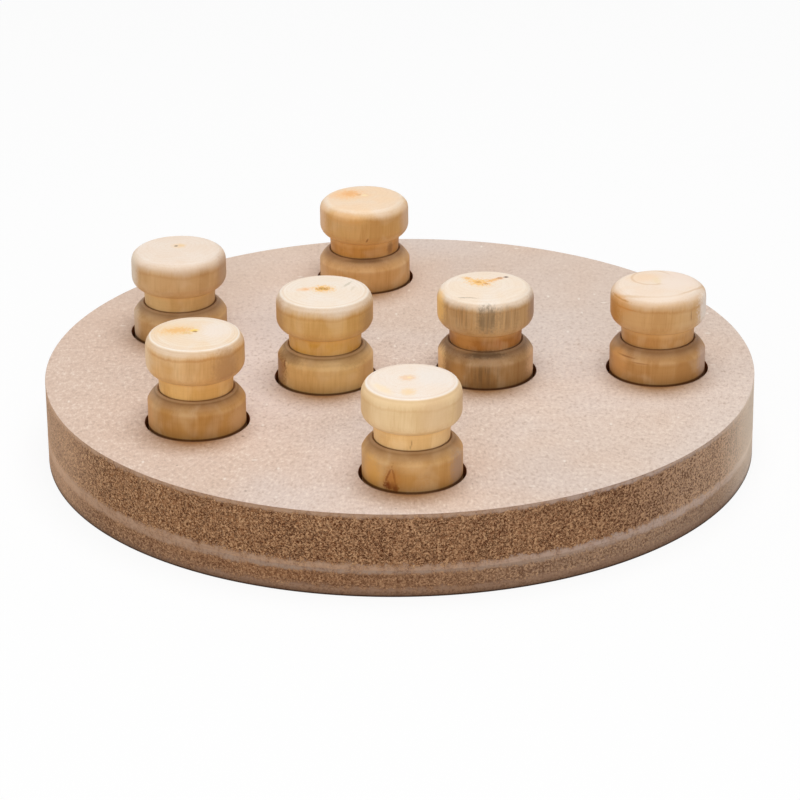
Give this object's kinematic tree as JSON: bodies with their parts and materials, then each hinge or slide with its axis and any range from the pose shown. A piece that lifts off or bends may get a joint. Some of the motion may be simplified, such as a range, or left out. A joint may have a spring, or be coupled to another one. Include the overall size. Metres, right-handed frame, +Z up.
{
  "type": "dog puzzle feeder toy",
  "caption": "Round two-layer fibreboard base with bored wells, each closed by a turned wooden peg that a dog lifts out to reach the treat under it.",
  "frame": {"origin": "centre of the underside of the board, on the surface it stands on", "axes": "+Z up, out of the wells and along every peg; +X to the right and -Y towards the side that shows one peg alone near the rim"},
  "size_m": [0.31, 0.31, 0.0778],
  "materials": {
    "upper_fibreboard": "bare medium-density fibreboard, smooth pale face and sawn brown edge",
    "base_fibreboard": "bare medium-density fibreboard, sawn edge",
    "front_peg_wood": "bare turned pale hardwood, end grain on the face",
    "left_peg_wood": "bare turned pale hardwood, end grain on the face",
    "back_left_peg_wood": "bare turned pale hardwood, end grain on the face",
    "back_peg_wood": "bare turned pale hardwood, end grain on the face",
    "right_peg_wood": "bare turned pale hardwood, end grain on the face",
    "inner_left_peg_wood": "bare turned pale hardwood, end grain on the face",
    "inner_right_peg_wood": "bare turned pale hardwood, end grain on the face"
  },
  "bodies": {
    "board": {"base_board": "base_fibreboard", "well_board": "upper_fibreboard"},
    "front_peg": {"front_peg": "front_peg_wood"},
    "left_peg": {"left_peg": "left_peg_wood"},
    "back_left_peg": {"back_left_peg": "back_left_peg_wood"},
    "back_peg": {"back_peg": "back_peg_wood"},
    "right_peg": {"right_peg": "right_peg_wood"},
    "inner_left_peg": {"inner_left_peg": "inner_left_peg_wood"},
    "inner_right_peg": {"inner_right_peg": "inner_right_peg_wood"}
  },
  "joints": [
    {"name": "front_lift", "type": "slide", "parent": "board", "child": "front_peg", "axis": [0, 0, 1], "range_m": [0, 0.045]},
    {"name": "left_lift", "type": "slide", "parent": "board", "child": "left_peg", "axis": [0, 0, 1], "range_m": [0, 0.045]},
    {"name": "back_left_lift", "type": "slide", "parent": "board", "child": "back_left_peg", "axis": [0, 0, 1], "range_m": [0, 0.045]},
    {"name": "back_lift", "type": "slide", "parent": "board", "child": "back_peg", "axis": [0, 0, 1], "range_m": [0, 0.045]},
    {"name": "right_lift", "type": "slide", "parent": "board", "child": "right_peg", "axis": [0, 0, 1], "range_m": [0, 0.045]},
    {"name": "inner_left_lift", "type": "slide", "parent": "board", "child": "inner_left_peg", "axis": [0, 0, 1], "range_m": [0, 0.045]},
    {"name": "inner_right_lift", "type": "slide", "parent": "board", "child": "inner_right_peg", "axis": [0, 0, 1], "range_m": [0, 0.045]}
  ]
}
